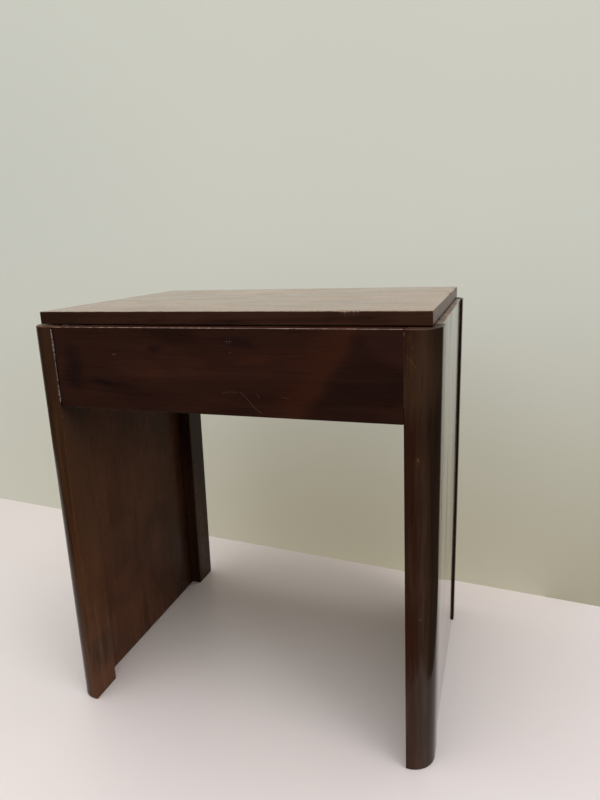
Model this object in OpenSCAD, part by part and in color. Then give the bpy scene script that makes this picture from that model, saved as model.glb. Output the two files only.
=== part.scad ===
// Sewing table: a lidded work box carried on two panelled ends.
// Millimetres, +Z up, front towards -Y, origin on the floor under the middle of the body.

/* [Body] */
// Width over both ends
body_w = 450; // [430:5:520]
// Depth from front to rear
body_d = 330; // [320:5:380]
// Height from the floor to the rim
body_h = 478; // [440:1:560]
// Radius of the four outer corners
corner_r = 25; // [15:1:26]

/* [Ends] */
// Width of a post across the front
post_w = 33; // [33:1:40]
// Depth of a post from front to rear
post_d = 41; // [38:1:45]
// Taper of a post's inner face, from the aprons' lower edge to the foot
post_taper = 4.5; // [0.5:0.5:6]
// Thickness of an end panel
panel_t = 11.5; // [11:0.5:14]
// Step from the posts' outer faces down to an end panel
panel_inset = 2.5; // [0.5:0.5:3]
// Gap between an end panel and the floor
panel_gap = 1; // [0.5:0.5:6]

/* [Box] */
// Height of the front and rear aprons
apron_h = 90; // [80:1:110]
// Thickness of the aprons
apron_t = 22; // [21:1:24]
// Height of the floor of the box above the aprons' lower edge
floor_rise = 12; // [10:1:16]
// Thickness of the floor of the box
floor_t = 5; // [4:1:6]
// Section of the square bearers under the floor of the box
bearer = 10; // [8:1:12]

/* [Lid] */
// Thickness of the lid
lid_t = 14; // [12:1:18]
// Gap between the rim and the lid
lid_gap = 1; // [0.8:0.1:1.5]
// Set-back of the lid from each end
lid_side_inset = 9; // [5:1:12]
// Set-back of the lid from the front
lid_front_inset = 14; // [10:1:16]
// Set-back of the lid from the rear
lid_rear_inset = 15; // [14:0.5:15]

/* [Hidden] */
$fn = 64;

// Colours of the stained wood, the unstained inside wood and the metal
stained = "#3a2219";
veneer = "#46291c";
inside_wood = "#9a6f45";
plywood = "#b08a5c";
brass = "#b08d3c";
steel = "#8c8c88";
felt = "#2c4a30";

half_w = body_w / 2;
half_d = body_d / 2;
eps = 0.01;
// Slack of a glued joint, all round
glue_gap = 0.1;

// Tongues of the end panels and tenons of the aprons
tongue_t = 6;
tongue_l = 8;
tenon_t = 10;
tenon_l = 18;
tenon_shoulder = 10;

// Inner faces and levels of the box
panel_outer_x = half_w - panel_inset;
panel_inner_x = panel_outer_x - panel_t;
post_inner_x = half_w - post_w;
post_inner_y = half_d - post_d;
apron_inner_y = half_d - apron_t;
apron_z = body_h - apron_h;
floor_z = apron_z + floor_rise;
side_gap = 0.5;
end_gap = 1;

// Lid
lid_z = body_h + lid_gap;
lid_w = body_w - 2 * lid_side_inset;
lid_front_y = -half_d + lid_front_inset;
lid_rear_y = half_d - lid_rear_inset;
batten_w = 30;
batten_t = 8;
batten_l = 240;
batten_x = 120;
buffer_d = 10;
buffer_inset = 20;

// Hinges: the pin lies in the gap between rim and lid, just behind the lid's rear edge
hinge_x = 130;
hinge_l = 50;
hinge_y = lid_rear_y + 3.5;
hinge_z = body_h + lid_gap / 2;
hinge_leaf_w = 10;
hinge_leaf_t = 1.2;
knuckle_r = 3;
knuckles = 5;
knuckle_l = hinge_l / knuckles;
knuckle_gap = 0.1;
pin_r = 1.25;
pin_clearance = 0.05;
pin_head_r = 2.2;
pin_head_l = 1;
turning_gap = 0.3;
hinge_screw_y = hinge_y - 6.5;
hinge_screw_x = [-18, 0, 18];

// Screws and pins: diameter, length, head diameter
long_screw = [3.5, 24, 7];
short_screw = [3.5, 18, 7];
batten_screw = [3, 17, 6];
hinge_screw = [2.2, 9, 4.4];
pin = [1.4, 12, 2.8];
apron_screw_x = [-150, 0, 150];
panel_screw_y = [-60, 60];
floor_pin_x = [-175, -75, 75, 175];
floor_pin_y = [-110, 0, 110];
batten_screw_y = [-90, 0, 90];

// ---- Helpers ----

// Puts a child made for the right rear quarter into another quarter
module quarter(x_side, y_side) {
    mirror([x_side < 0 ? 1 : 0, 0, 0]) mirror([0, y_side < 0 ? 1 : 0, 0]) children();
}

// A box from its lowest corner and its highest corner
module block(low, high) {
    translate(low) cube(high - low);
}

// A countersunk screw along +Z, with its head's face at z = 0
module screw(size) {
    d = size[0];
    l = size[1];
    head_d = size[2];
    cone_h = (head_d - d) / 2;
    tip_h = d;
    slot = 0.14 * head_d;
    difference() {
        union() {
            cylinder(d1 = head_d, d2 = d, h = cone_h);
            translate([0, 0, cone_h - eps]) cylinder(d = d, h = l - cone_h - tip_h + eps);
            translate([0, 0, l - tip_h - eps]) cylinder(d1 = d, d2 = 0.4 * d, h = tip_h);
        }
        block([-head_d, -slot / 2, -eps], [head_d, slot / 2, 0.45 * cone_h]);
    }
}

// The hole that a screw sits in
module screw_hole(size) {
    slack = 0.1;
    d = size[0] + slack;
    head_d = size[2] + slack;
    cone_h = (head_d - d) / 2;
    translate([0, 0, -1]) cylinder(d = head_d, h = 1 + eps);
    cylinder(d1 = head_d, d2 = d, h = cone_h);
    cylinder(d = d, h = size[1] + slack);
}

// A flat-headed panel pin along +Z, with its head's face at z = 0
module panel_pin(size) {
    head_h = 0.8;
    cylinder(d = size[2], h = head_h);
    translate([0, 0, head_h - eps]) cylinder(d = size[0], h = size[1] - head_h);
}

module panel_pin_hole(size) {
    slack = 0.1;
    translate([0, 0, -1]) cylinder(d = size[2] + slack, h = 1.8 + slack);
    cylinder(d = size[0] + slack, h = size[1] + slack);
}

// ---- Places of the fasteners, for the rear and right sides ----

module at_rear_bearer_screws() {
    for (x = apron_screw_x)
        translate([x, apron_inner_y - bearer, floor_z - bearer / 2]) rotate([-90, 0, 0]) children();
}

module at_right_bearer_screws() {
    for (y = panel_screw_y)
        translate([panel_inner_x - bearer, y, floor_z - bearer / 2]) rotate([0, 90, 0]) children();
}

module at_rear_floor_pins() {
    for (x = floor_pin_x)
        translate([x, apron_inner_y - bearer / 2, floor_z + floor_t]) rotate([180, 0, 0]) children();
}

module at_right_floor_pins() {
    for (y = floor_pin_y)
        translate([panel_inner_x - bearer / 2, y, floor_z + floor_t]) rotate([180, 0, 0]) children();
}

module at_hinge_screws() {
    for (x = hinge_screw_x)
        translate([hinge_x + x, hinge_screw_y, 0]) children();
}

module at_batten_screws() {
    for (y = batten_screw_y)
        translate([batten_x, y, lid_z - batten_t]) children();
}

// ---- Ends ----

module post_plan() {
    centre = [half_w - corner_r, half_d - corner_r];
    difference() {
        translate([post_inner_x, post_inner_y]) square([post_w, post_d]);
        difference() {
            translate(centre) square(corner_r + 1);
            translate(centre) circle(corner_r, $fn = 128);
        }
    }
}

// The wedge that is planed off a post's inner face
module foot_taper() {
    translate([0, half_d + 1, 0]) rotate([90, 0, 0]) linear_extrude(post_d + 2)
        polygon([[post_inner_x - eps, -eps], [post_inner_x + post_taper, -eps],
                 [post_inner_x, apron_z], [post_inner_x - eps, apron_z]]);
}

module tongue(slack) {
    mid_x = (panel_inner_x + panel_outer_x) / 2;
    block([mid_x - tongue_t / 2 - slack, post_inner_y - eps, panel_gap - slack],
          [mid_x + tongue_t / 2 + slack, post_inner_y + tongue_l + slack, body_h + slack]);
}

module tenon(slack) {
    mid_y = half_d - apron_t / 2;
    block([post_inner_x - eps, mid_y - tenon_t / 2 - slack, apron_z + tenon_shoulder - slack],
          [post_inner_x + tenon_l + slack, mid_y + tenon_t / 2 + slack, body_h - tenon_shoulder + slack]);
}

module post() {
    color(stained) difference() {
        linear_extrude(body_h) post_plan();
        foot_taper();
        tongue(glue_gap);
        tenon(glue_gap);
    }
}

module end_panel() {
    color(veneer) difference() {
        union() {
            block([panel_inner_x, -post_inner_y, panel_gap], [panel_outer_x, post_inner_y, body_h]);
            tongue(0);
            mirror([0, 1, 0]) tongue(0);
        }
        at_right_bearer_screws() screw_hole(short_screw);
    }
}

// ---- Aprons ----

module apron() {
    color(stained) difference() {
        union() {
            block([-post_inner_x, apron_inner_y, apron_z], [post_inner_x, half_d, body_h]);
            tenon(0);
            mirror([1, 0, 0]) tenon(0);
        }
        at_rear_bearer_screws() screw_hole(long_screw);
    }
}

module hinge_bed() {
    slack = 0.05;
    block([hinge_x - hinge_l / 2 - slack, apron_inner_y - 1, body_h - hinge_leaf_t - slack],
          [hinge_x + hinge_l / 2 + slack, hinge_y, body_h + 1]);
    translate([hinge_x - hinge_l / 2 - 2, hinge_y, hinge_z])
        rotate([0, 90, 0]) cylinder(r = knuckle_r + turning_gap, h = hinge_l + 4);
    translate([0, 0, body_h]) at_hinge_screws() rotate([180, 0, 0]) screw_hole(hinge_screw);
}

module rear_apron() {
    color(stained) difference() {
        apron();
        hinge_bed();
        mirror([1, 0, 0]) hinge_bed();
    }
}

// ---- Floor of the box ----

module floor_bearer_long() {
    color(inside_wood) difference() {
        block([-post_inner_x + end_gap, apron_inner_y - bearer, floor_z - bearer],
              [post_inner_x - end_gap, apron_inner_y, floor_z]);
        at_rear_bearer_screws() screw_hole(long_screw);
        at_rear_floor_pins() panel_pin_hole(pin);
    }
}

module floor_bearer_short() {
    color(inside_wood) difference() {
        block([panel_inner_x - bearer, -post_inner_y + end_gap, floor_z - bearer],
              [panel_inner_x, post_inner_y - end_gap, floor_z]);
        at_right_bearer_screws() screw_hole(short_screw);
        at_right_floor_pins() panel_pin_hole(pin);
    }
}

module all_floor_pins() {
    for (side = [1, -1]) {
        quarter(1, side) at_rear_floor_pins() children();
        quarter(side, 1) at_right_floor_pins() children();
    }
}

module box_floor() {
    color(plywood) difference() {
        union() {
            block([-post_inner_x + side_gap, -apron_inner_y + side_gap, floor_z],
                  [post_inner_x - side_gap, apron_inner_y - side_gap, floor_z + floor_t]);
            block([-panel_inner_x + side_gap, -post_inner_y + side_gap, floor_z],
                  [panel_inner_x - side_gap, post_inner_y - side_gap, floor_z + floor_t]);
        }
        all_floor_pins() panel_pin_hole(pin);
    }
}

// ---- Buffers ----

module lid_buffers() {
    color(felt) for (x = [-1, 1], y = [-1, 1])
        translate([x * (half_w - buffer_inset), y * (half_d - buffer_inset - 7), body_h])
            cylinder(d = buffer_d, h = lid_gap);
}

// ---- Hinges, drawn for the right one ----

// The length of one leaf's knuckles: the lid has the odd ones, counted from 1, and the body the even ones
module knuckle_run(first, r, gap) {
    for (i = [first:2:knuckles - 1])
        translate([hinge_x - hinge_l / 2 + i * knuckle_l + gap, hinge_y, hinge_z])
            rotate([0, 90, 0]) cylinder(r = r, h = knuckle_l - 2 * gap);
}

// The other leaf's knuckles turn in these slots
module knuckle_slots(first) {
    r = knuckle_r + turning_gap;
    for (i = [first:2:knuckles - 1])
        block([hinge_x - hinge_l / 2 + i * knuckle_l - eps, hinge_y - r, hinge_z - r],
              [hinge_x - hinge_l / 2 + (i + 1) * knuckle_l + eps, hinge_y + r, hinge_z + r]);
}

module leaf(first, low_z) {
    color(brass) difference() {
        union() {
            difference() {
                block([hinge_x - hinge_l / 2, hinge_y - hinge_leaf_w, low_z],
                      [hinge_x + hinge_l / 2, hinge_y - 2, low_z + hinge_leaf_t]);
                knuckle_slots(1 - first);
            }
            knuckle_run(first, knuckle_r, knuckle_gap);
        }
        translate([hinge_x - hinge_l, hinge_y, hinge_z])
            rotate([0, 90, 0]) cylinder(r = pin_r + pin_clearance, h = 2 * hinge_l);
        children();
    }
}

module body_leaf() {
    leaf(1, body_h - hinge_leaf_t)
        translate([0, 0, body_h]) at_hinge_screws() rotate([180, 0, 0]) screw_hole(hinge_screw);
}

module lid_leaf() {
    leaf(0, lid_z)
        translate([0, 0, lid_z]) at_hinge_screws() screw_hole(hinge_screw);
}

module hinge_pin() {
    color(brass) translate([hinge_x, hinge_y, hinge_z]) rotate([0, 90, 0]) {
        cylinder(r = pin_r, h = hinge_l + eps, center = true);
        for (side = [0, 1]) mirror([0, 0, side])
            translate([0, 0, hinge_l / 2]) cylinder(r1 = pin_head_r, r2 = pin_r, h = pin_head_l);
    }
}

module body_leaf_screws() {
    color(brass) translate([0, 0, body_h]) at_hinge_screws() rotate([180, 0, 0]) screw(hinge_screw);
}

module lid_leaf_screws() {
    color(brass) translate([0, 0, lid_z]) at_hinge_screws() screw(hinge_screw);
}

// ---- Lid ----

module lid_leaf_bed() {
    slack = 0.05;
    block([hinge_x - hinge_l / 2 - slack, hinge_y - hinge_leaf_w - slack, lid_z - 1],
          [hinge_x + hinge_l / 2 + slack, lid_rear_y + 1, lid_z + hinge_leaf_t + slack]);
    translate([0, 0, lid_z]) at_hinge_screws() screw_hole(hinge_screw);
}

module lid_board() {
    color(veneer) difference() {
        block([-lid_w / 2, lid_front_y, lid_z], [lid_w / 2, lid_rear_y, lid_z + lid_t]);
        for (side = [1, -1]) quarter(side, 1) {
            lid_leaf_bed();
            at_batten_screws() screw_hole(batten_screw);
        }
    }
}

module lid_batten() {
    color(inside_wood) difference() {
        block([batten_x - batten_w / 2, -batten_l / 2, lid_z - batten_t],
              [batten_x + batten_w / 2, batten_l / 2, lid_z]);
        at_batten_screws() screw_hole(batten_screw);
    }
}

// ---- The pieces, one line for each node ----

quarter(-1, -1) post();  // front_left_post
quarter(1, -1) post();  // front_right_post
quarter(-1, 1) post();  // rear_left_post
quarter(1, 1) post();  // rear_right_post
quarter(-1, 1) end_panel();  // left_end_panel
quarter(1, 1) end_panel();  // right_end_panel
quarter(1, -1) apron();  // front_apron
rear_apron();
box_floor();
color(steel) all_floor_pins() panel_pin(pin);  // floor_pins
quarter(1, -1) floor_bearer_long();  // front_floor_bearer
quarter(1, 1) floor_bearer_long();  // rear_floor_bearer
quarter(-1, 1) floor_bearer_short();  // left_floor_bearer
quarter(1, 1) floor_bearer_short();  // right_floor_bearer
color(steel) quarter(1, -1) at_rear_bearer_screws() screw(long_screw);  // front_bearer_screws
color(steel) quarter(1, 1) at_rear_bearer_screws() screw(long_screw);  // rear_bearer_screws
color(steel) quarter(-1, 1) at_right_bearer_screws() screw(short_screw);  // left_bearer_screws
color(steel) quarter(1, 1) at_right_bearer_screws() screw(short_screw);  // right_bearer_screws
lid_buffers();
quarter(-1, 1) body_leaf();  // left_hinge_body_leaf
quarter(1, 1) body_leaf();  // right_hinge_body_leaf
quarter(-1, 1) hinge_pin();  // left_hinge_pin
quarter(1, 1) hinge_pin();  // right_hinge_pin
quarter(-1, 1) body_leaf_screws();  // left_hinge_body_screws
quarter(1, 1) body_leaf_screws();  // right_hinge_body_screws
lid_board();
quarter(-1, 1) lid_batten();  // left_lid_batten
quarter(1, 1) lid_batten();  // right_lid_batten
color(steel) quarter(-1, 1) at_batten_screws() screw(batten_screw);  // left_batten_screws
color(steel) quarter(1, 1) at_batten_screws() screw(batten_screw);  // right_batten_screws
quarter(-1, 1) lid_leaf();  // left_hinge_lid_leaf
quarter(1, 1) lid_leaf();  // right_hinge_lid_leaf
quarter(-1, 1) lid_leaf_screws();  // left_hinge_lid_screws
quarter(1, 1) lid_leaf_screws();  // right_hinge_lid_screws
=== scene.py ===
import math

import bmesh
import bpy
import numpy as np
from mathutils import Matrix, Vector


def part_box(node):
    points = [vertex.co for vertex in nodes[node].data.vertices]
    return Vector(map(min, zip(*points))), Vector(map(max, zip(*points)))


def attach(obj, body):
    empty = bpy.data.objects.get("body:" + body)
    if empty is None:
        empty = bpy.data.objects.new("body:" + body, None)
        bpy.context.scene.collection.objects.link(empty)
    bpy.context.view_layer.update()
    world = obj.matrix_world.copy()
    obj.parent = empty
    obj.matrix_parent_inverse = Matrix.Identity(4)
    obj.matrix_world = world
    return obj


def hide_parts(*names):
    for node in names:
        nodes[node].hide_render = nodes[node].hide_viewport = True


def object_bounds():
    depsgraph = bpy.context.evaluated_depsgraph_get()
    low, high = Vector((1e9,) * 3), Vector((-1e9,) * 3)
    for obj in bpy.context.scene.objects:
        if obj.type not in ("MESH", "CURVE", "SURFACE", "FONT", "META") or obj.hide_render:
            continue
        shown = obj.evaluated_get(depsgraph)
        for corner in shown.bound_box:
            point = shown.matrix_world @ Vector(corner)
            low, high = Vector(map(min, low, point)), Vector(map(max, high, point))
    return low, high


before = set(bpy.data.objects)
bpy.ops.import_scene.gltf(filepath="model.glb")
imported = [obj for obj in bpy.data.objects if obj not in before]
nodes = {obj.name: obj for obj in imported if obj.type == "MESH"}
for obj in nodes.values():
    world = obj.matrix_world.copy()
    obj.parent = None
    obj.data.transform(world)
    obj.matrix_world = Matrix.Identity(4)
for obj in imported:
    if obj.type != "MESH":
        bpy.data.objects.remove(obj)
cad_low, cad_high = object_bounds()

# Everything is in metres, with the front of the table towards -Y.

MM = 0.001
CARCASS, LID = "carcass", "lid"
low = {name: np.array(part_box(name)[0]) for name in nodes}
high = {name: np.array(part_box(name)[1]) for name in nodes}

# ---- Sizes that the boxes don't give ----

CORNER_R = 25 * MM
POST_TAPER = 4.5 * MM
HINGE_LEAF_T = 1.2 * MM
KNUCKLE_ROOM = 3.3 * MM
UNEVEN = 0.07 * MM

FRONT_Y = cad_low[1]
RIM_Z = high["front_apron"][2]
APRON_Z = low["front_apron"][2]
INSIDE_Z = high["box_floor"][2]
POST_INNER_X = low["front_right_post"][0]

# Each post's name and its sides in x and y
POSTS = (
    ("front_left_post", -1, -1),
    ("front_right_post", 1, -1),
    ("rear_left_post", -1, 1),
    ("rear_right_post", 1, 1),
)


# ---- Camera ----

def add_camera():
    """The view that the photograph was taken from."""
    data = bpy.data.cameras.new("camera")
    data.lens = 27.6
    data.sensor_width = 36
    camera = bpy.data.objects.new("camera", data)
    camera.location = (0.2745, -0.7152, 0.5537)
    camera.rotation_euler = [math.radians(a) for a in (75.89, 2.05, 17.91)]
    bpy.context.scene.collection.objects.link(camera)
    bpy.context.scene.camera = camera


# ---- Shader nodes ----

class Shader:
    """A node tree with short calls that make a node and give its output."""

    def __init__(self, owner):
        owner.use_nodes = True
        self.tree = owner.node_tree
        self.tree.nodes.clear()

    def add(self, kind, out=0, props=None, **inputs):
        """Makes a node. An input is named by its socket, with _ for a space, or by _ and its number.

        It gives the node's output number out, or the node itself when out is None.
        """
        node = self.tree.nodes.new("ShaderNode" + kind)
        for key, value in (props or {}).items():
            setattr(node, key, value)
        for key, value in inputs.items():
            if key[0] == "_":
                socket = node.inputs[int(key[1:])]
            else:
                socket = node.inputs[key.replace("_", " ")]
            self.put(socket, value)
        return node if out is None else node.outputs[out]

    def put(self, socket, value):
        """Links another node's output to the socket, or sets the socket's own value."""
        if isinstance(value, bpy.types.NodeSocket):
            self.tree.links.new(value, socket)
        elif socket.type == "RGBA":
            socket.default_value = (*value, 1)
        else:
            socket.default_value = value

    def math(self, operation, *values):
        inputs = {f"_{i}": v for i, v in enumerate(values)}
        return self.add("Math", props={"operation": operation}, **inputs)

    def vector(self, operation, *values, out=0):
        inputs = {f"_{i}": v for i, v in enumerate(values)}
        return self.add("VectorMath", out, {"operation": operation}, **inputs)

    def mix(self, factor, a, b, blend="MIX"):
        props = {"data_type": "RGBA", "blend_type": blend}
        return self.add("Mix", 2, props, _0=factor, _6=a, _7=b)

    def fade(self, value, start, end, low_value=0.0, high_value=1.0):
        """Goes smoothly from low_value to high_value as value goes from start to end."""
        props = {"interpolation_type": "SMOOTHSTEP"}
        if start > end:
            start, end, low_value, high_value = end, start, high_value, low_value
        return self.add("MapRange", 0, props, _0=value, _1=start, _2=end, _3=low_value, _4=high_value)

    def noise(self, coords, scale, detail=3.0, roughness=0.55, distortion=0.0):
        return self.add("TexNoise", 0, Vector=coords, Scale=scale, Detail=detail,
                        Roughness=roughness, Distortion=distortion)

    def stretched(self, coords, scale, offset=(0, 0, 0)):
        return self.add("Mapping", 0, Vector=coords, Scale=scale, Location=offset)

    def bump(self, height, distance, strength=1.0):
        return self.add("Bump", 0, Height=height, Distance=distance, Strength=strength)

    def surface(self, socket):
        self.add("OutputMaterial", None, Surface=socket)


def new_shader(name):
    material = bpy.data.materials.new(name)
    return material, Shader(material)


# ---- Marks on the wood: soft patches and scratches, placed in the X-Z plane, in mm ----

ACROSS, UP = (1, 0, 0), (0, 0, 1)


def flat_xz(shader, coords):
    return shader.vector("MULTIPLY", coords, (1, 0, 1))


def measure(shader, plane, direction):
    """How far each point lies along direction."""
    return shader.vector("DOT_PRODUCT", plane, direction, out=1)


def warped(shader, plane, scale, amount):
    """Bends the plane here and there, for patches with uneven edges."""
    sway = shader.add("TexNoise", 1, Vector=plane, Scale=scale, Detail=2.0)
    sway = shader.vector("SUBTRACT", sway, (0.5, 0.5, 0.5))
    return shader.vector("MULTIPLY_ADD", sway, (amount, 0, amount), plane)


def patch_mask(shader, plane, centre, size, turn=0.0):
    """A soft ellipse round centre. size is its half width and half height, and turn is in degrees."""
    x, z = centre
    moved = shader.vector("SUBTRACT", plane, (x * MM, 0, z * MM))
    props = {"vector_type": "TEXTURE"}
    scaled = shader.add("Mapping", 0, props, Vector=moved,
                        Rotation=(0, math.radians(turn), 0),
                        Scale=(size[0] * MM, 1, size[1] * MM))
    return shader.fade(shader.vector("LENGTH", scaled, out=1), 1.0, 0.15)


def side_mask(shader, plane, start, end, width):
    """Fades to 1 on the right of the line from start to end, seen from the front."""
    run = Vector((end[0] - start[0], end[1] - start[1])).normalized()
    across = (run.y, 0, -run.x)
    along = measure(shader, plane, across)
    edge = (start[0] * across[0] + start[1] * across[2]) * MM
    return shader.fade(along, edge - width * MM / 2, edge + width * MM / 2)


def scratch_mask(shader, plane, points, width):
    """A thin line through the points."""
    total = None
    for a, b in zip(points, points[1:]):
        start = Vector((a[0], 0, a[1])) * MM
        run = Vector((b[0], 0, b[1])) * MM - start
        from_start = shader.vector("SUBTRACT", plane, start)
        along = measure(shader, from_start, run / run.length_squared)
        reached = shader.add("Clamp", 0, Value=along)
        nearest = shader.add("VectorMath", 0, {"operation": "SCALE"}, _0=run, Scale=reached)
        gap = shader.vector("DISTANCE", from_start, nearest, out=1)
        line = shader.fade(gap, width * MM / 2, width * MM / 6)
        total = line if total is None else shader.math("MAXIMUM", total, line)
    return total


def add_patches(shader, plane, colour, tint, patches):
    """Lays tint over the colour in each patch: its centre, half sizes, turn and strength."""
    for centre, size, turn, amount in patches:
        mask = shader.math("MULTIPLY", patch_mask(shader, plane, centre, size, turn), amount)
        colour = shader.mix(mask, colour, tint)
    return colour


def add_scratches(shader, plane, colour, tint, scratches):
    """Lays tint over the colour in each scratch: its points, width and strength."""
    for points, width, amount in scratches:
        mask = shader.math("MULTIPLY", scratch_mask(shader, plane, points, width), amount)
        colour = shader.mix(mask, colour, tint)
    return colour


# ---- Wood ----

def varnished_wood(name, grain, dark, mid, light, worn, seed, rough=0.16, marks=None, streak=0.5,
                   specular=0.5, relief=0.02 * MM, fine=0.18, dull=0.0, coat=0.0,
                   faded=(0.33, 0.195, 0.115)):
    """Stained and varnished wood with its grain along the axis named by grain.

    streak and fine say how much of the figure is bands and thin lines. worn and faded are colours.
    dull is how much rougher the varnish gets in streaks higher up, and coat is a second layer of it.
    The point attribute wear is 1 on the arrises, bare is 1 where the wood was left unfinished, faded is 1
    where the stain is lighter, deep is 1 where it is darkened (by painted shade on the posts and panels, and
    towards the left on the lid's sides), and end_grain is 1 on sawn ends.
    """
    material, s = new_shader(name)
    coords = s.add("TexCoord", 3)
    offset = (seed * 0.37, seed * 0.71, seed * 0.53)

    def attribute(kind):
        return s.add("Attribute", 2, {"attribute_name": kind})

    def along(ratio):
        """Stretches a texture along the grain, 1/ratio times."""
        return s.stretched(coords, tuple(ratio if axis == grain else 1.0 for axis in "XYZ"), offset)

    # the stain, and the grain that shows through it
    blotches = s.noise(along(0.4), 11, 3, 0.5, 1.6)
    bands = s.noise(along(0.09), 42, 4, 0.6, 0.8)
    lines = s.noise(along(0.022), 330, 3, 0.6, 0.2)
    pores = s.noise(along(0.03), 900, 2, 0.5)
    figure = s.math("ADD", s.math("MULTIPLY", blotches, 1 - streak), s.math("MULTIPLY", bands, streak))
    figure = s.math("ADD", s.math("MULTIPLY", figure, 1 - fine), s.math("MULTIPLY", lines, fine))
    colour = s.mix(s.fade(figure, 0.36, 0.5), dark, mid)
    colour = s.mix(s.fade(figure, 0.49, 0.64), colour, light)
    if marks:
        colour = marks(s, flat_xz(s, coords), colour)
    pore_mask = s.fade(pores, 0.42, 0.33)
    fading = attribute("faded")
    bleached = s.mix(s.fade(figure, 0.38, 0.62), tuple(c * 0.55 for c in faded), faded)
    colour = s.mix(s.math("MULTIPLY", fading, 0.8), colour, bleached)
    deep = attribute("deep")
    # deep darkens the colour: painted shade on the posts and panels, and the left of the lid's sides
    colour = s.mix(s.math("MULTIPLY", deep, 0.75), colour, tuple(c * 0.8 for c in dark))
    colour = s.mix(s.math("MULTIPLY", pore_mask, 0.3), colour, tuple(c * 0.3 for c in dark))

    # worn arrises and bare wood
    smears = s.noise(along(0.5), 24, 4, 0.65, 0.6)
    patchy = s.noise(s.stretched(coords, (1, 1, 1), offset), 130, 3, 0.6)
    wear = attribute("wear")
    worn_mask = s.fade(s.math("MULTIPLY", wear, s.fade(patchy, 0.25, 0.75, 0.45, 1.3)), 0.3, 0.85)
    colour = s.mix(worn_mask, colour, worn)

    bare = attribute("bare")
    bare_mask = s.fade(s.math("ADD", bare, s.math("MULTIPLY", smears, 0.5)), 0.62, 0.85)
    plain = s.mix(s.fade(bands, 0.35, 0.68), (0.30, 0.17, 0.085), (0.50, 0.33, 0.18))
    plain = s.mix(s.math("MULTIPLY", s.fade(lines, 0.5, 0.66), 0.35), plain, (0.2, 0.1, 0.045))
    colour = s.mix(bare_mask, colour, plain)

    # gloss and relief
    sheen = s.math("ADD", s.math("MULTIPLY", smears, 0.5), s.math("MULTIPLY", bands, 0.5))
    gloss = s.fade(sheen, 0.36, 0.64, rough * 0.7, rough * 1.6)
    if dull:
        dull_streaks = s.fade(s.noise(along(0.2), 15, 4, 0.55, 0.8), 0.38, 0.68, 0.0, dull)
        up = s.add("SeparateXYZ", 2, Vector=coords)
        gloss = s.math("ADD", gloss, s.math("MULTIPLY", dull_streaks, s.fade(up, 0.08, 0.26)))
    end_grain = attribute("end_grain")
    gloss = s.math("MAXIMUM", gloss, s.math("MULTIPLY", end_grain, 0.36))
    gloss = s.math("ADD", gloss, s.math("MULTIPLY", pore_mask, 0.04))
    gloss = s.math("ADD", gloss, s.math("MULTIPLY", worn_mask, 0.25))
    gloss = s.math("MAXIMUM", gloss, s.math("MULTIPLY", bare_mask, 0.62))
    height = s.math("ADD", s.math("MULTIPLY", lines, 0.5), s.math("MULTIPLY", pore_mask, -0.8))
    height = s.math("ADD", height, s.math("MULTIPLY", patchy, 0.35))
    normal = s.bump(height, relief)
    s.surface(s.add("BsdfPrincipled", 0, Base_Color=colour, Roughness=gloss, Normal=normal, IOR=1.5,
                    Specular_IOR_Level=specular, Coat_Weight=coat, Coat_Roughness=0.06))
    return material


def plain_wood(name, grain, dark, light, seed, rough=0.6):
    """Planed, unfinished wood."""
    material, s = new_shader(name)
    coords = s.add("TexCoord", 3)
    offset = (seed * 0.31, seed * 0.57, seed * 0.83)
    across = tuple(0.05 if axis == grain else 1.0 for axis in "XYZ")
    fine = tuple(0.012 if axis == grain else 1.0 for axis in "XYZ")
    bands = s.noise(s.stretched(coords, across, offset), 60, 3, 0.55, 0.9)
    lines = s.noise(s.stretched(coords, fine, offset), 700, 3, 0.6)
    dirt = s.noise(s.stretched(coords, (1, 1, 1), offset), 18, 4, 0.6)
    colour = s.mix(s.fade(bands, 0.34, 0.66), dark, light)
    colour = s.mix(s.math("MULTIPLY", s.fade(lines, 0.5, 0.68), 0.4), colour, tuple(c * 0.55 for c in dark))
    colour = s.mix(s.math("MULTIPLY", s.fade(dirt, 0.5, 0.75), 0.35), colour, tuple(c * 0.4 for c in dark))
    gloss = s.fade(lines, 0.3, 0.7, rough - 0.08, rough + 0.12)
    normal = s.bump(lines, 0.12 * MM)
    s.surface(s.add("BsdfPrincipled", 0, Base_Color=colour, Roughness=gloss, Normal=normal))
    return material


def aged_metal(name, bright, dull, rough):
    """Metal with tarnish in patches and fine rubbed lines."""
    material, s = new_shader(name)
    coords = s.add("TexCoord", 3)
    tarnish = s.noise(coords, 240, 4, 0.65, 0.5)
    rubbed = s.noise(s.stretched(coords, (0.1, 1, 1)), 2600, 2, 0.5)
    mask = s.fade(tarnish, 0.38, 0.66)
    colour = s.mix(mask, bright, dull)
    gloss = s.math("ADD", s.fade(tarnish, 0.3, 0.7, rough, rough + 0.25), s.math("MULTIPLY", rubbed, 0.08))
    normal = s.bump(s.math("ADD", tarnish, rubbed), 0.03 * MM)
    s.surface(s.add("BsdfPrincipled", 0, Base_Color=colour, Roughness=gloss, Normal=normal,
                    Metallic=1.0))
    return material


def felt_material():
    material, s = new_shader("buffer_felt")
    coords = s.add("TexCoord", 3)
    fibres = s.noise(coords, 2400, 4, 0.7, 1.5)
    clumps = s.noise(coords, 500, 3, 0.6)
    colour = s.mix(fibres, (0.02, 0.055, 0.03), (0.07, 0.14, 0.08))
    gloss = s.fade(clumps, 0.3, 0.7, 0.85, 1.0)
    normal = s.bump(s.math("ADD", fibres, clumps), 0.2 * MM)
    s.surface(s.add("BsdfPrincipled", 0, Base_Color=colour, Roughness=gloss, Normal=normal,
                    Sheen_Weight=0.4))
    return material


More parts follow.
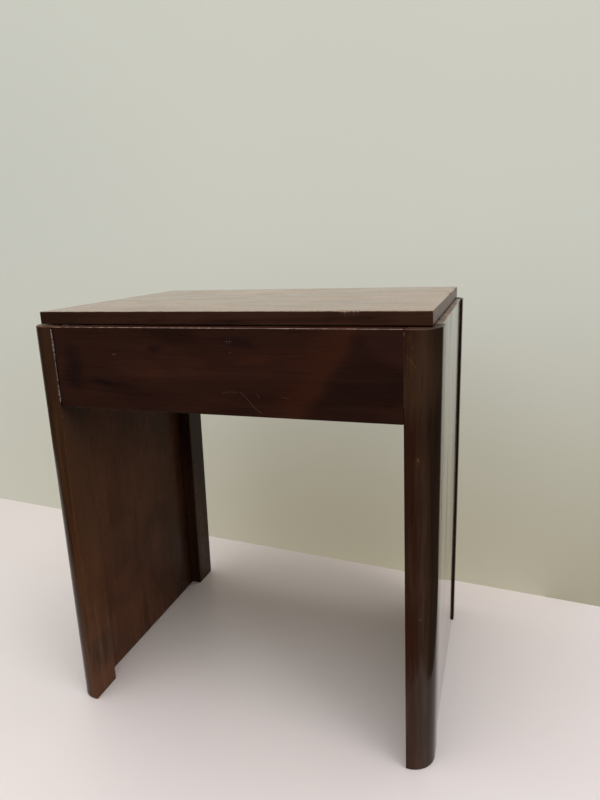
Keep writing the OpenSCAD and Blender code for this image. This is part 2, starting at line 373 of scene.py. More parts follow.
def filler_material():
    """Old glue and filler that has cracked out of a joint."""
    material, s = new_shader("joint_filler")
    coords = s.add("TexCoord", 3)
    crumbs = s.noise(coords, 900, 4, 0.7)
    gaps = s.noise(coords, 260, 3, 0.6)
    colour = s.mix(s.fade(crumbs, 0.35, 0.65), (0.14, 0.10, 0.075), (0.50, 0.42, 0.36))
    colour = s.mix(s.fade(gaps, 0.53, 0.60), colour, (0.05, 0.025, 0.016))
    normal = s.bump(crumbs, 0.2 * MM)
    s.surface(s.add("BsdfPrincipled", 0, Base_Color=colour, Roughness=s.fade(gaps, 0.3, 0.7, 0.6, 0.9),
                    Normal=normal))
    return material


# What the front apron and the front posts carry

APRON_FLAMES = (
    ((49, 449), (24, 8), -8, 0.4),
    ((78, 452), (26, 10), 20, 0.2),
    ((10, 402), (40, 7), 6, 0.2),
    ((-18, 440), (30, 10), -14, 0.2),
    ((-150, 404), (34, 8), 4, 0.2),
)
APRON_SHADES = (
    ((-131, 419), (22, 5), 5, 0.8),
    ((-66, 456), (16, 6), -10, 0.6),
    ((-168, 430), (18, 40), 0, 0.6),
    ((30, 463), (26, 9), 10, 0.5),
)
APRON_SCRATCHES = (
    (((28.8, 413.1), (35.4, 406.8), (42.7, 398.0), (47.2, 394.2), (50.6, 392.4)), 0.8, 0.34),
    (((45.6, 412.2), (48.4, 410.6), (48.1, 407.6)), 0.8, 0.25),
    (((72.0, 409.4), (76.5, 409.6), (81.1, 407.0)), 0.9, 0.2),
    (((8.1, 411.7), (16.0, 413.2), (25.9, 413.0)), 0.9, 0.18),
    (((15.0, 464.6), (22.8, 464.3)), 0.7, 0.34),
    (((17.2, 468.6), (16.9, 462.4)), 0.6, 0.25),
    (((20.1, 468.2), (19.9, 461.8)), 0.6, 0.25),
    (((-117.0, 448.9), (-113.4, 449.5)), 1.1, 0.5),
    (((19.0, 453.6), (20.2, 453.2)), 0.9, 0.45),
)
RIGHT_POST_PATCHES = (
    ((205.5, 352), (4, 9), 0, 0.3),
    ((199, 446), (6, 14), 0, 0.25),
    ((197, 470), (2.5, 6), 30, 0.3),
    ((200, 462), (5, 2), -35, 0.3),
    ((202, 413), (3, 12), 0, 0.25),
)
RIGHT_POST_SCRATCHES = (
    (((194.6, 453.0), (198.6, 449.0), (202.5, 442.9)), 1.2, 0.2),
    (((205.4, 355.2), (206.0, 352.6)), 1.6, 0.6),
    (((209.3, 184.6), (210.1, 183.7)), 1.5, 0.5),
)


def apron_marks(s, plane, colour):
    """A flame in the grain with a dark field to its right, soft patches, scratches and an open joint."""
    flame = (0.085, 0.024, 0.010)
    shade = (0.014, 0.0075, 0.0075)
    scratch = (0.27, 0.19, 0.15)
    edge_foot, edge_top = (119, 427), (152, 477)
    bent = warped(s, plane, 34, 16 * MM)

    band = s.math("MULTIPLY", side_mask(s, bent, (84, 427), (117, 477), 44),
                  side_mask(s, bent, edge_top, edge_foot, 16))
    colour = s.mix(s.math("MULTIPLY", band, 0.62), colour, flame)
    field = side_mask(s, bent, edge_foot, edge_top, 12)
    upper = s.fade(measure(s, bent, UP), 398 * MM, 428 * MM, 0.25, 0.8)
    colour = s.mix(s.math("MULTIPLY", s.math("MULTIPLY", field, upper), 0.3), colour, shade)
    lower_right = s.math("MULTIPLY", field, side_mask(s, bent, (190, 437), (160, 464), 14))
    colour = s.mix(s.math("MULTIPLY", lower_right, 0.5), colour, (0.066, 0.022, 0.016))

    colour = add_patches(s, bent, colour, flame, APRON_FLAMES)
    colour = add_patches(s, bent, colour, shade, APRON_SHADES)
    colour = add_scratches(s, plane, colour, scratch, APRON_SCRATCHES)
    open_joint = s.fade(measure(s, plane, ACROSS), 3.5 * MM - POST_INNER_X, 1.8 * MM - POST_INNER_X)
    return s.mix(s.math("MULTIPLY", open_joint, 0.85), colour, (0.006, 0.004, 0.004))


def post_stripes(s, plane, stretch, scale, start, end, amount):
    """Thin upright stripes, from 0 to amount."""
    return s.fade(s.noise(s.stretched(plane, (1, 1, stretch)), scale, 3, 0.6), start, end, 0.0, amount)


def right_post_marks(s, plane, colour):
    """Reddish stripes by the inner arris, a painted dark reflection from the rounded shoulder outwards, worn
    brown high up, and small knocks.
    """
    red, dark, brown = (0.052, 0.015, 0.007), (0.020, 0.012, 0.007), (0.098, 0.054, 0.030)
    orange, scratch = (0.15, 0.05, 0.018), (0.32, 0.17, 0.09)
    across = measure(s, plane, ACROSS)
    stripes = post_stripes(s, plane, 0.035, 300, 0.30, 0.55, 0.8)
    colour = s.mix(s.math("MULTIPLY", s.fade(across, 210 * MM, 202 * MM), stripes), colour, red)
    # painted shade: darker from the rounded shoulder outwards, standing in for the dark room mirrored there
    colour = s.mix(s.fade(across, 215 * MM, 220 * MM, 0.0, 0.6), colour, dark)
    colour = s.mix(s.math("MULTIPLY", patch_mask(s, plane, (206, 436), (26, 62)), 0.55), colour, brown)
    colour = add_patches(s, plane, colour, orange, RIGHT_POST_PATCHES)
    return add_scratches(s, plane, colour, scratch, RIGHT_POST_SCRATCHES)


def left_post_marks(s, plane, colour):
    """Orange stripes low down by the inner arris, and a darker, greener outside."""
    orange, dark = (0.17, 0.062, 0.024), (0.045, 0.026, 0.013)
    across = measure(s, plane, ACROSS)
    low_down = s.fade(measure(s, plane, UP), 400 * MM, 330 * MM)
    by_arris = s.math("MULTIPLY", s.fade(across, -209 * MM, -203 * MM), low_down)
    stripes = post_stripes(s, plane, 0.03, 260, 0.38, 0.56, 0.5)
    colour = s.mix(s.math("MULTIPLY", by_arris, stripes), colour, orange)
    return s.mix(s.fade(across, -206 * MM, -212 * MM, 0.0, 0.35), colour, dark)


# ---- Meshes ----

def waves(points, seed, shortest=0.05, longest=0.22, count=7):
    """A smooth unevenness between -1 and 1, as hand-planed wood has."""
    rng = np.random.default_rng(seed)
    total = np.zeros(len(points))
    for _ in range(count):
        direction = rng.normal(size=3)
        direction *= 2 * math.pi / rng.uniform(shortest, longest) / np.linalg.norm(direction)
        total += np.sin(points @ direction + rng.uniform(0, 2 * math.pi))
    return total / count


def smooth(value, start, end):
    """Goes smoothly from 0 to 1 as value goes from start to end."""
    t = np.clip((value - start) / (end - start), 0, 1)
    return t * t * (3 - 2 * t)


def press(points, normals, dents):
    """Pushes each dent or chip into the surface. A dent is its centre, its radius and its depth."""
    for centre, radius, depth in dents:
        gap = np.linalg.norm(points - np.array(centre), axis=1) / radius
        push = depth * np.clip(1 - gap * gap, 0, 1) ** 1.5
        points -= normals * push[:, None]
    return points


def make_piece(name, points, faces, attributes, material, body, replaced=()):
    """Makes a piece that rides on body. replaced names the CAD nodes that it stands for."""
    mesh = bpy.data.meshes.new(name)
    mesh.from_pydata([tuple(p) for p in points], [], faces)
    for key, values in attributes.items():
        layer = mesh.attributes.new(key, "FLOAT", "POINT")
        layer.data.foreach_set("value", np.asarray(values, dtype=np.float32))
    work = bmesh.new()
    work.from_mesh(mesh)
    bmesh.ops.remove_doubles(work, verts=work.verts, dist=0.004 * MM)
    bmesh.ops.dissolve_degenerate(work, edges=work.edges, dist=0.002 * MM)
    bmesh.ops.recalc_face_normals(work, faces=work.faces)
    work.to_mesh(mesh)
    work.free()
    mesh.shade_smooth()
    mesh.materials.append(material)
    piece = bpy.data.objects.new(name, mesh)
    bpy.context.scene.collection.objects.link(piece)
    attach(piece, body)
    if replaced:
        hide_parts(*replaced)


def stations(start, end, step, arris, extra=()):
    """Where a board's grid lines fall: close together in the arrises, and a step apart between them."""
    in_arris = [arris * (1 - math.tan(math.radians(a))) for a in (45, 34, 23, 12, 0)]
    margin = arris * 1.5
    count = max(2, round((end - start - 2 * margin) / step) + 1)
    middle = np.linspace(start + margin, end - margin, count)
    near = [start + t for t in in_arris]
    far = [end - t for t in in_arris]
    inside = [x for x in extra if start + margin < x < end - margin]
    return np.array(sorted({round(float(x), 8) for x in (*near, *middle, *far, *inside)}))


def board(low_corner, high_corner, arris, seed, step=3 * MM, extra=((), (), ()), top=None, bottom=None,
          dents=(), uneven=UNEVEN):
    """A board with worn arrises and slightly uneven faces.

    Gives its points, normals, faces and each point's distance to an arris. top and bottom give the
    height of the upper and lower face at each x and y, where a recess is cut in them.
    """
    lines = [stations(low_corner[i], high_corner[i], step, arris, extra[i]) for i in range(3)]
    last = [len(line) - 1 for line in lines]
    index, lattice = {}, []

    def point(i, j, k):
        if (i, j, k) not in index:
            index[i, j, k] = len(lattice)
            lattice.append((lines[0][i], lines[1][j], lines[2][k]))
        return index[i, j, k]

    faces = []
    for axis in range(3):
        a, b = [n for n in range(3) if n != axis]
        for level in (0, last[axis]):
            for u in range(last[a]):
                for v in range(last[b]):
                    corners = []
                    for du, dv in ((0, 0), (1, 0), (1, 1), (0, 1)):
                        place = [0, 0, 0]
                        place[axis], place[a], place[b] = level, u + du, v + dv
                        corners.append(point(*place))
                    faces.append(corners)
    points = np.array(lattice)
    lows = np.tile(np.asarray(low_corner, dtype=float), (len(points), 1))
    highs = np.tile(np.asarray(high_corner, dtype=float), (len(points), 1))
    if top:
        highs[:, 2] = top(points[:, 0], points[:, 1])
    if bottom:
        lows[:, 2] = bottom(points[:, 0], points[:, 1])
    points = np.clip(points, lows, highs)
    to_face = np.sort(np.minimum(points - lows, highs - points), axis=1)
    to_arris = to_face[:, 1]
    radius = arris * (0.78 + 0.22 * waves(points, seed + 50, 0.02, 0.09))[:, None]
    inner = np.clip(points, lows + radius, highs - radius)
    away = points - inner
    length = np.linalg.norm(away, axis=1)[:, None]
    normals = away / np.maximum(length, 1e-9)
    points = inner + normals * radius
    points -= normals * (uneven * (1 + waves(points, seed)) / 2)[:, None]
    return press(points, normals, dents), normals, faces, to_arris


def tube_faces(rings, count):
    """The faces of a closed tube of rings, each with count points."""
    faces = [list(range(count))[::-1]]
    for ring in range(rings - 1):
        for i in range(count):
            j = (i + 1) % count
            a, b = ring * count, (ring + 1) * count
            faces.append([a + i, a + j, b + j, b + i])
    faces.append([(rings - 1) * count + i for i in range(count)])
    return faces


def post_outline(inner_shift, inset, arris):
    """The plan of the rear right post, shrunk by inset, with points and outward normals."""
    x0 = low["rear_right_post"][0] + inner_shift + inset
    x1 = high["rear_right_post"][0] - inset
    y0 = low["rear_right_post"][1] + inset
    y1 = high["rear_right_post"][1] - inset
    centre = (high["rear_right_post"][0] - CORNER_R, high["rear_right_post"][1] - CORNER_R)
    small = [max(e - inset, 0.03 * MM) for e in arris]
    points, normals = [], []

    def arc(cx, cy, radius, first, count):
        for i in range(count + 1):
            angle = math.radians(first + 90 * i / count)
            points.append((cx + radius * math.cos(angle), cy + radius * math.sin(angle)))
            normals.append((math.cos(angle), math.sin(angle)))

    def flat(start, end, normal, count):
        for i in range(1, count):
            points.append((start[0] + (end[0] - start[0]) * i / count,
                           start[1] + (end[1] - start[1]) * i / count))
            normals.append(normal)

    e0, e1, e2 = small
    arc(x0 + e0, y0 + e0, e0, 180, 5)
    flat((x0 + e0, y0), (x1 - e1, y0), (0, -1), 12)
    arc(x1 - e1, y0 + e1, e1, 270, 4)
    flat((x1, y0 + e1), (x1, centre[1]), (1, 0), 7)
    arc(centre[0], centre[1], CORNER_R - inset, 0, 30)
    flat((centre[0], y1), (x0 + e2, y1), (0, 1), 4)
    arc(x0 + e2, y1 - e2, e2, 90, 4)
    flat((x0, y1 - e2), (x0, y0 + e0), (-1, 0), 15)
    return np.array(points), np.array(normals)


def post_mesh(x_side, y_side, seed, dents=()):
    """A post with its rounded corner outside, its planed inner face and worn arrises."""
    z0, z1 = low["rear_right_post"][2], high["rear_right_post"][2]
    arris = 1.1 * MM

    def end_rings(z, up):
        """Rings round the arris of an end and in over its face: their inset, height and tilt."""
        turns = [math.radians(a) for a in (0, 22, 45, 67, 90)]
        rounded = [(arris * (1 - math.cos(a)), z - up * arris * (1 - math.sin(a)), up * math.sin(a))
                   for a in turns]
        return rounded + [(inset, z, up) for inset in (arris * 1.6, 4 * MM, 9 * MM)]

    rings = end_rings(z0, -1)[::-1]
    rings += [(0.0, z, 0.0) for z in np.linspace(z0 + 2.5 * MM, z1 - 2.5 * MM, 150)]
    rings += end_rings(z1, 1)
    points, normals, to_arris = [], [], []
    corner_arrises = (1.3 * MM, 0.35 * MM, 0.45 * MM)
    for inset, z, tilt in rings:
        taper = POST_TAPER * max(0.0, 1 - (z - z0) / (APRON_Z - z0))
        plan, plan_normals = post_outline(taper, inset, corner_arrises)
        level = math.sqrt(max(0.0, 1 - tilt * tilt))
        corner = np.array([low["rear_right_post"][0] + taper, low["rear_right_post"][1]])
        front_corner = np.array([corner[0], high["rear_right_post"][1]])
        covered = 0.4 * MM + 3 * MM * smooth(abs(APRON_Z - 30 * MM - z), 20 * MM, 60 * MM)
        for p, n in zip(plan, plan_normals):
            points.append((p[0], p[1], z))
            normals.append((n[0] * level, n[1] * level, tilt))
            to_end = inset + min(z - z0, z1 - z)
            to_arris.append(min(to_end, np.linalg.norm(p - corner) + 0.3 * MM,
                                np.linalg.norm(p - front_corner) + covered))
    faces = tube_faces(len(rings), len(plan))
    points = np.array(points) * (x_side, y_side, 1)
    normals = np.array(normals) * (x_side, y_side, 1)
    points -= normals * (UNEVEN * (1 + waves(points, seed)) / 2)[:, None]
    return press(points, normals, dents), normals, faces, np.array(to_arris)


def wear_of(to_arris, points, amount, seed, reach=1.6 * MM):
    """1 on an arris and 0 beyond reach, with gaps where it was rubbed less."""
    rubbed = 0.75 + 0.35 * waves(points, seed + 9, 0.015, 0.12)
    return np.clip(amount * rubbed * (1 - smooth(to_arris, 0, reach)), 0, 1)


def box_inside(points, normals, inward):
    """1 on the faces inside the work box, where the wood was left bare."""
    clear = 0.5 * MM
    facing = smooth(normals @ np.array(inward, dtype=float), 0.5, 0.9)
    depth = smooth(RIM_Z - points[:, 2], 4 * MM, 9 * MM)
    return facing * depth * smooth(points[:, 2], INSIDE_Z - clear, INSIDE_Z + clear)


# ---- Materials ----

# Dark, middle and light parts of the figure
wood_colours = {
    "front_right_post": ((0.026, 0.012, 0.008), (0.050, 0.025, 0.015), (0.082, 0.043, 0.026)),
    # a lighter copy of the wood for the front left post: painted light for its inner face, which more light
    # reaches than the panel's
    "front_left_post": ((0.042, 0.018, 0.010), (0.080, 0.036, 0.018), (0.120, 0.056, 0.028)),
    # a darker copy for the rear posts: painted shade for their place in the shade under and behind the work
    # box
    "shaded_rear_post": ((0.020, 0.009, 0.006), (0.038, 0.017, 0.010), (0.064, 0.029, 0.016)),
    "panel": ((0.032, 0.013, 0.008), (0.055, 0.022, 0.012), (0.086, 0.034, 0.017)),
    "apron": ((0.030, 0.010, 0.006), (0.049, 0.016, 0.010), (0.075, 0.025, 0.014)),
    "lid": ((0.036, 0.014, 0.009), (0.070, 0.028, 0.016), (0.108, 0.044, 0.024)),
}
WORN = (0.30, 0.20, 0.14)
LID_WORN = (0.36, 0.235, 0.15)
PANEL_INSIDE = (0.128, 0.050, 0.025)

post_marks = {"front_left_post": left_post_marks, "front_right_post": right_post_marks}
post_wood = {}
for number, (name, _, _) in enumerate(POSTS):
    on_right = name == "front_right_post"
    colours = wood_colours[name if name in wood_colours else "shaded_rear_post"]
    post_wood[name] = varnished_wood(name + "_varnish", "Z", *colours, worn=WORN, seed=3 + number,
                                     rough=0.12 if on_right else 0.18, marks=post_marks.get(name),
                                     streak=0.7, specular=0.15 if on_right else 0.07, relief=0.01 * MM)
left_panel_wood = varnished_wood("left_panel_varnish", "Z", *wood_colours["panel"], worn=WORN, seed=11,
                                 rough=0.24, streak=0.3, specular=0.06, faded=PANEL_INSIDE)
right_panel_wood = varnished_wood("right_panel_varnish", "Z", *wood_colours["panel"], worn=WORN, seed=17,
                                  rough=0.08, streak=0.5, relief=0.006 * MM, dull=0.24, coat=0.5,
                                  faded=PANEL_INSIDE)
front_apron_wood = varnished_wood("front_apron_varnish", "X", *wood_colours["apron"], worn=WORN, seed=21,
                                  rough=0.15, marks=apron_marks, streak=0.35, fine=0.06)
rear_apron_wood = varnished_wood("rear_apron_varnish", "X", *wood_colours["apron"], worn=WORN, seed=26,
                                 rough=0.16, streak=0.4)
lid_wood = varnished_wood("lid_varnish", "X", *wood_colours["lid"], worn=LID_WORN, seed=31,
                          rough=0.13, streak=0.6, relief=0.01 * MM)
batten_wood = plain_wood("batten_softwood", "Y", (0.26, 0.15, 0.075), (0.42, 0.27, 0.145), 5)
long_bearer_wood = plain_wood("long_bearer_softwood", "X", (0.27, 0.16, 0.08), (0.44, 0.28, 0.15), 8)
short_bearer_wood = plain_wood("short_bearer_softwood", "Y", (0.27, 0.16, 0.08), (0.44, 0.28, 0.15), 9)
floor_plywood = plain_wood("floor_plywood", "X", (0.34, 0.22, 0.12), (0.52, 0.37, 0.22), 12, 0.66)
brass = aged_metal("hinge_brass", (0.62, 0.42, 0.15), (0.26, 0.16, 0.07), 0.28)
steel = aged_metal("screw_steel", (0.42, 0.41, 0.39), (0.16, 0.13, 0.11), 0.35)


# ---- Posts, panels, aprons and lid ----

def add_posts():
    """The four posts, bare inside the work box. The front right one has two dents."""
    right_dents = [((205.7 * MM, FRONT_Y, 353.8 * MM), 2.2 * MM, 0.5 * MM),
                   ((209.7 * MM, FRONT_Y, 184.1 * MM), 1.8 * MM, 0.4 * MM)]
    for number, (name, x_side, y_side) in enumerate(POSTS):
        dents = right_dents if name == "front_right_post" else ()
        points, normals, faces, to_arris = post_mesh(x_side, y_side, 40 + number, dents)
        wear = wear_of(to_arris, points, 0.9, 40 + number)
        bare = np.maximum(box_inside(points, normals, (-x_side, 0, 0)),
                          box_inside(points, normals, (0, -y_side, 0)))
        bare *= np.abs(points[:, 0]) < high["right_end_panel"][0] - 2 * MM
        # deep paints shade: darker on the inner faces higher up, under the work box, and on the faces of the
        # step where a post stands proud of its panel
        inward = smooth(-x_side * normals[:, 0], 0.5, 0.9)
        outer_step = np.abs(points[:, 0]) > high["right_end_panel"][0] - 0.5 * MM
        deep = np.maximum(0.65 * inward * smooth(points[:, 2], 0.08, 0.28),
                          outer_step * smooth(-y_side * normals[:, 1], 0.3, 0.8))
        attributes = {"wear": wear, "bare": bare, "end_grain": smooth(normals[:, 2], 0.5, 0.9), "deep": deep}
        make_piece(name + "_wood", points, faces, attributes, post_wood[name], CARCASS,
                   (name,))


def add_panels():
    """The end panels. Their inner faces are lighter, with painted shade that darkens them towards the rear
    and the floor.
    """
    for name, x_side, material in (
            ("left_end_panel", -1, left_panel_wood), ("right_end_panel", 1, right_panel_wood)):
        corner_low, corner_high = low[name].copy(), high[name].copy()
        corner_low[1] = high["front_left_post"][1]
        corner_high[1] = low["rear_left_post"][1]
        seed = 60 + x_side
        points, normals, faces, to_arris = board(corner_low, corner_high, 0.5 * MM, seed, 3.5 * MM)
        wear = wear_of(to_arris, points, 0.8, seed, 1.2 * MM)
        wear *= smooth(points[:, 2], RIM_Z - 4 * MM, RIM_Z - 2 * MM)
        if x_side > 0:
            # the right panel's top face takes the worn colour: partly wear, partly a painted highlight for
            # its lit top
            wear = np.maximum(wear, 0.62 * smooth(normals[:, 2], 0.5, 0.9))
        inward = smooth(-x_side * normals[:, 0], 0.5, 0.9)
        # painted shade on the inner face, deepest at the rear and low down
        backward = smooth(points[:, 1], -0.02, corner_high[1])
        downward = smooth(points[:, 2], 0.34, 0.06)
        attributes = {"wear": wear, "bare": box_inside(points, normals, (-x_side, 0, 0)),
                      "end_grain": smooth(normals[:, 2], 0.5, 0.9),
                      "faded": inward, "deep": inward * backward * (0.3 + 0.7 * downward)}
        make_piece(name + "_wood", points, faces, attributes, material, CARCASS,
                   (name,))


def hinge_spans():
    """The stretch of x that each hinge takes."""
    leaves = [side + "_hinge_body_leaf" for side in ("left", "right")]
    return [(low[leaf][0], high[leaf][0]) for leaf in leaves]


def edge_lines(*places, gap=0.02 * MM):
    """Pairs of grid lines that give a recess square sides."""
    return [p + g for p in places for g in (-gap, gap)]


def apron_box(name):
    """The part of an apron that shows between the posts."""
    corner_low, corner_high = low[name].copy(), high[name].copy()
    corner_low[0], corner_high[0] = -POST_INNER_X, POST_INNER_X
    return corner_low, corner_high


def add_front_apron():
    """The front apron, with two small dents."""
    corner_low, corner_high = apron_box("front_apron")
    dents = [((19 * MM, FRONT_Y, 453.6 * MM), 1.5 * MM, 0.2 * MM),
             ((-115.5 * MM, FRONT_Y, 448.9 * MM), 2.0 * MM, 0.25 * MM)]
    points, normals, faces, to_arris = board(corner_low, corner_high, 1.2 * MM, 71, 2.5 * MM, dents=dents)
    end_gap = np.minimum(points[:, 0] - corner_low[0], corner_high[0] - points[:, 0])
    wear = wear_of(to_arris, points, 0.85, 71) * smooth(end_gap, 0.2 * MM, 1.6 * MM)
    wear *= 0.15 + 0.85 * smooth(points[:, 2], RIM_Z - 5 * MM, RIM_Z - 3 * MM)
    bare = box_inside(points, normals, (0, 1, 0))
    make_piece("front_apron_wood", points, faces, {"wear": wear, "bare": bare}, front_apron_wood, CARCASS,
               ("front_apron",))


def add_rear_apron():
    """The rear apron, with beds for the hinges' body leaves and troughs for their knuckles."""
    corner_low, corner_high = apron_box("rear_apron")
    pin_low, pin_high = low["left_hinge_pin"], high["left_hinge_pin"]
    pin_y, pin_z = (pin_low[1] + pin_high[1]) / 2, (pin_low[2] + pin_high[2]) / 2
    slack = 0.05 * MM
    trough = 2 * MM

    def top(x, y):
        height = np.full(len(x), corner_high[2])
        for start, end in hinge_spans():
            in_bed = (x > start - slack) & (x < end + slack) & (y < pin_y)
            height = np.where(in_bed, corner_high[2] - HINGE_LEAF_T - slack, height)
            in_trough = (x > start - trough) & (x < end + trough) & (np.abs(y - pin_y) < KNUCKLE_ROOM)
            drop = np.sqrt(np.maximum(KNUCKLE_ROOM ** 2 - (y - pin_y) ** 2, 0))
            height = np.where(in_trough, np.minimum(height, pin_z - drop), height)
        return height

    across = [x for span in hinge_spans() for x in edge_lines(span[0] - slack, span[1] + slack,
                                                              span[0] - trough, span[1] + trough)]
    deep = list(pin_y + np.linspace(-1, 1, 15) * KNUCKLE_ROOM * 0.999)
    points, normals, faces, to_arris = board(corner_low, corner_high, 1.0 * MM, 75, 3 * MM,
                                             (across, deep, ()), top=top)
    wear = wear_of(to_arris, points, 0.8, 75)
    bare = box_inside(points, normals, (0, -1, 0))
    make_piece("rear_apron_wood", points, faces, {"wear": wear, "bare": bare}, rear_apron_wood, CARCASS,
               ("rear_apron",))


def add_lid():
    """The lid, with beds for the hinges' lid leaves and chips along its front and right edges."""
    corner_low, corner_high = low["lid_board"], high["lid_board"]
    slack = 0.05 * MM
    bed_y = low["left_hinge_lid_leaf"][1] - slack

    def bottom(x, y):
        height = np.full(len(x), corner_low[2])
        for start, end in hinge_spans():
            in_bed = (x > start - slack) & (x < end + slack) & (y > bed_y)
            height = np.where(in_bed, corner_low[2] + HINGE_LEAF_T + slack, height)
        return height

    front_y, top_z = corner_low[1], corner_high[2]
    chips = [((x * MM, front_y, top_z), r * MM, d * MM) for x, r, d in (
        (130.5, 2.0, 0.8), (134.5, 2.8, 1.2), (138.5, 2.0, 0.8), (143, 2.4, 0.9), (147, 1.8, 0.7),
        (-171, 1.6, 0.5), (-64, 1.4, 0.4), (12, 1.3, 0.35), (88, 1.5, 0.4), (190, 1.8, 0.5))]
    side_x = corner_high[0]
    chips += [((side_x, y * MM, top_z), r * MM, d * MM) for y, r, d in (
        (36, 3.0, 0.9), (41, 3.6, 1.2), (47, 2.6, 0.8), (112, 2.4, 0.7), (119, 3.0, 1.0), (126, 2.2, 0.6))]
    across = list(np.arange(127, 151, 0.8) * MM)
    deep = list(np.arange(33, 51, 1.0) * MM) + list(np.arange(109, 130, 1.0) * MM)
    across += [x for span in hinge_spans() for x in edge_lines(span[0] - slack, span[1] + slack)]
    deep += edge_lines(bed_y)
    points, normals, faces, to_arris = board(corner_low, corner_high, 1.1 * MM, 81, 3 * MM,
                                             (across, deep, ()), bottom=bottom, dents=chips,
                                             uneven=0.1 * MM)
    to_top = corner_high[2] - points[:, 2]
    wear = wear_of(to_arris, points, 0.95, 81, 1.3 * MM)
    wear *= 0.3 + 0.7 * smooth(to_top, 4 * MM, 2 * MM)
    for centre, radius, _ in chips:
        gap = np.linalg.norm(points - np.array(centre), axis=1)
        wear = np.maximum(wear, 0.68 * smooth(gap, radius, 0.4 * radius))
    under = smooth(-normals[:, 2], 0.5, 0.9)
    from_edge = np.minimum(points[:, :2] - corner_low[:2], corner_high[:2] - points[:, :2]).min(axis=1)
    bare = under * smooth(from_edge, 14 * MM, 22 * MM)
    faded = smooth(normals[:, 2], 0.3, 0.9)
    attributes = {"wear": wear, "bare": bare, "faded": faded,
                  "deep": 0.8 * (1 - faded) * smooth(points[:, 0], -0.10, -0.20),
                  "end_grain": smooth(np.abs(normals[:, 0]), 0.5, 0.9)}
    make_piece("lid_board_wood", points, faces, attributes, lid_wood, LID, ("lid_board",))


def add_joint_filler(name, side, from_z, to_z, width, seed, material):
    """A ragged line of filler down the joint between a front post and the apron."""
    rng = np.random.default_rng(seed)
    x_mid = side * POST_INNER_X
    heights = np.arange(from_z, to_z, 0.9 * MM)
    points = []
    for number, z in enumerate(heights):
        swell = 0.7 + 0.4 * math.cos(2 * math.pi * 1.33 * (number / len(heights) - 0.05))
        half = width / 2 * rng.uniform(0.5, 1.3) * swell
        middle = x_mid + rng.uniform(-0.15, 0.3) * MM
        face_y = FRONT_Y + rng.uniform(0.0, 0.03) * MM
        if number in (0, len(heights) - 1):
            half *= 0.25
        points += [(middle - half, face_y + 0.15 * MM, z), (middle - 0.7 * half, face_y, z),
                   (middle + 0.7 * half, face_y, z), (middle + half, face_y + 0.15 * MM, z),
                   (x_mid, FRONT_Y + 1.2 * MM, z)]
    faces = tube_faces(len(heights), len(points) // len(heights))
    make_piece(name, points, faces, {}, material, CARCASS)


def add_joint_fillers():
    filler = filler_material()
    add_joint_filler("left_joint_filler", -1, APRON_Z + 5 * MM, RIM_Z - 3 * MM, 2.8 * MM, 7, filler)
    add_joint_filler("right_joint_filler", 1, RIM_Z - 7 * MM, RIM_Z - 2.5 * MM, 0.4 * MM, 8, filler)


# ---- CAD nodes that keep their shape ----

def finish_node(name, material, bevel=0.0):
    """Gives a CAD node its material and, where bevel is set, small rounded arrises."""
    node = nodes[name]
    for slot in node.material_slots:
        slot.material = material
    if bevel:
        modifier = node.modifiers.new("arrises", "BEVEL")
        modifier.width = bevel
        modifier.segments = 2
        modifier.limit_method = "ANGLE"
        modifier.angle_limit = math.radians(40)


def finish_nodes():
    felt = felt_material()
    for name in nodes:
        if "hinge" in name:
            finish_node(name, brass)
        elif "screws" in name or "pins" in name:
            finish_node(name, steel)
        elif "batten" in name:
            finish_node(name, batten_wood, 0.6 * MM)
        elif name in ("front_floor_bearer", "rear_floor_bearer"):
            finish_node(name, long_bearer_wood, 0.5 * MM)
        elif name in ("left_floor_bearer", "right_floor_bearer"):
            finish_node(name, short_bearer_wood, 0.5 * MM)
        elif name == "box_floor":
            finish_node(name, floor_plywood, 0.3 * MM)
        elif name == "lid_buffers":
            finish_node(name, felt)


# ---- Stage ----

def stage_material(name, colour, rough, vary, painted_room_light=None):
    """Paint with faint clouds and grit.

    Its glow is painted light that it gives off, as the rest of a room would lend it: one colour high up, and
    a dimmer, warmer one low on the right as painted shade. With it the paint can be seen from its front
    only.
    """
    material, s = new_shader(name)
    coords = s.add("TexCoord", 3)
    clouds = s.noise(coords, 1.3, 3, 0.5)
    grit = s.noise(coords, 60, 4, 0.6)
    tone = s.math("ADD", s.fade(clouds, 0.3, 0.7, 1 - vary, 1.0), s.math("MULTIPLY", grit, vary * 0.3))
    tint = s.mix(1.0, colour, s.add("CombineColor", 0, _0=tone, _1=tone, _2=tone), "MULTIPLY")
    normal = s.bump(grit, 0.2 * MM, 0.3)
    shade = s.add("BsdfPrincipled", 0, Base_Color=tint, Roughness=rough, Normal=normal,
                  Emission_Strength=1.0 if painted_room_light else 0.0)
    if painted_room_light:
        place = s.add("SeparateXYZ", None, Vector=coords)
        # dimmer and warmer low on the right: painted shade of the table, with painted warm light thrown back
        # from it
        corner = s.math("MULTIPLY", s.fade(place.outputs[0], -1.6, 0.2), s.fade(place.outputs[2], 0.6, 0.0))
        s.put(shade.node.inputs["Emission Color"], s.mix(corner, *painted_room_light))
        back = s.add("NewGeometry", 6)
        shade = s.add("MixShader", 0, _0=back, _1=shade, _2=s.add("BsdfTransparent", 0))
    s.surface(shade)
    return material


def sheet(name, corners, faces, material, mirrored=True):
    """A flat part of the stage. One that isn't mirrored doesn't show in the varnish or throw light back."""
    mesh = bpy.data.meshes.new(name)
    mesh.from_pydata(corners, [], faces)
    mesh.materials.append(material)
    piece = bpy.data.objects.new(name, mesh)
    bpy.context.scene.collection.objects.link(piece)
    piece.visible_glossy = mirrored
    piece.visible_diffuse = mirrored
    return piece


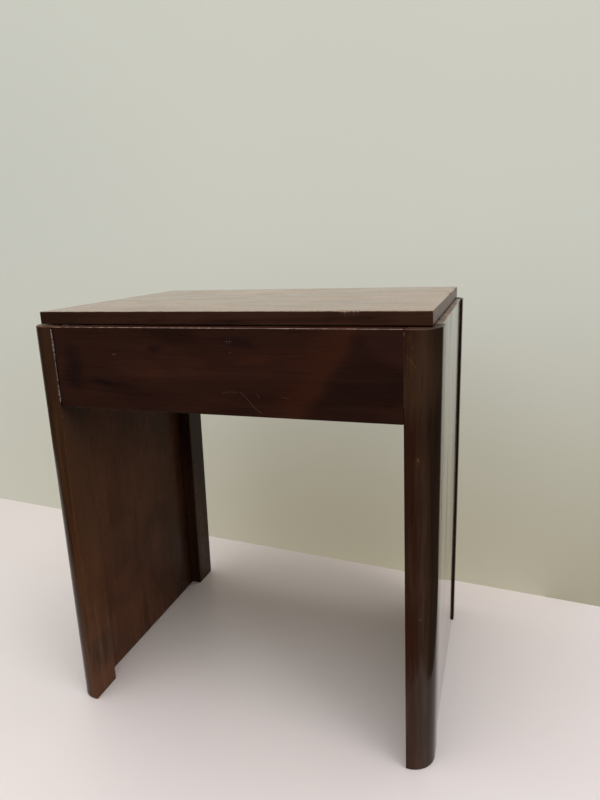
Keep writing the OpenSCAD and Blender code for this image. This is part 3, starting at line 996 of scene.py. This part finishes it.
def add_stage():
    """A pale floor, and a pale wall close behind the table that can be seen from its front only.

    Only their near parts are mirrored in the varnish, as on a small stand in a darker room.
    """
    floor = stage_material("stage_floor", (0.83, 0.76, 0.755), 0.32, 0.04)
    # the wall's glow colours are painted light; the second, dimmer and warmer, is painted shade low on its
    # right
    wall = stage_material("stage_wall", (0.35, 0.345, 0.30), 0.85, 0.05,
                          ((0.380, 0.388, 0.348), (0.244, 0.218, 0.150)))
    left, right, front, far = -1.2, 0.36, -0.3, 6.0

    def wall_y(x):
        """The wall stands at a slight angle to the table."""
        return 0.261 - 0.1023 * x

    near = [(left, front, 0), (right, front, 0), (right, wall_y(right), 0), (left, wall_y(left), 0)]
    outer = [(-far, -far, 0), (far, -far, 0), (far, far, 0), (-far, far, 0)]
    sheet("stage_floor", near, [(0, 1, 2, 3)], floor)
    ring = [(i, (i + 1) % 4, 4 + (i + 1) % 4, 4 + i) for i in range(4)]
    sheet("stage_outer_floor", outer + near, ring, floor, mirrored=False)
    wall_left, wall_right, wall_end, wall_top = -3.0, 0.42, 3.0, 2.4
    for name, x0, x1 in (("stage_wall", wall_left, wall_right), ("stage_outer_wall", wall_right, wall_end)):
        corners = [(x0, wall_y(x0), 0), (x1, wall_y(x1), 0),
                   (x1, wall_y(x1), wall_top), (x0, wall_y(x0), wall_top)]
        backdrop = sheet(name, corners, [(0, 1, 2, 3)], wall, mirrored=name == "stage_wall")
        # the overhead lamp reaches past the wall, which mustn't shade the table from it
        backdrop.visible_shadow = False


def area_light(name, location, target, size, power, colour):
    """A rectangular lamp that faces target."""
    data = bpy.data.lights.new(name, "AREA")
    data.shape = "RECTANGLE"
    data.size, data.size_y = size
    data.energy = power
    data.color = colour
    lamp = bpy.data.objects.new(name, data)
    lamp.location = location
    aim = Vector(target) - Vector(location)
    lamp.rotation_euler = aim.to_track_quat("-Z", "Y").to_euler()
    bpy.context.scene.collection.objects.link(lamp)


def add_lights():
    """Two large lamps, and a room that is dark low down and grey above. The camera sees it plain."""
    area_light("overhead", (-0.1, -0.4, 2.3), (-0.1, 0, 0.2), (2.4, 2.0), 35, (1.0, 0.985, 0.97))
    area_light("right", (1.9, -0.95, 1.35), (0, 0, 0.25), (1.2, 1.2), 15, (1.0, 0.985, 0.97))
    world = bpy.data.worlds.new("studio")
    bpy.context.scene.world = world
    s = Shader(world)
    direction = s.add("TexCoord", 0)
    height = s.add("SeparateXYZ", 2, Vector=direction)
    dome = s.mix(s.fade(height, 0.0, 0.7), (0.035, 0.032, 0.03), (0.50, 0.51, 0.50))
    seen = s.add("LightPath", 0)
    colour = s.mix(seen, dome, (0.62, 0.63, 0.60))
    s.add("OutputWorld", None, Surface=s.add("Background", 0, Color=colour, Strength=1.0))


# ---- The scene ----

bpy.context.scene.view_settings.view_transform = "Standard"
add_camera()
add_posts()
add_panels()
add_front_apron()
add_rear_apron()
add_lid()
add_joint_fillers()
finish_nodes()
add_stage()
add_lights()
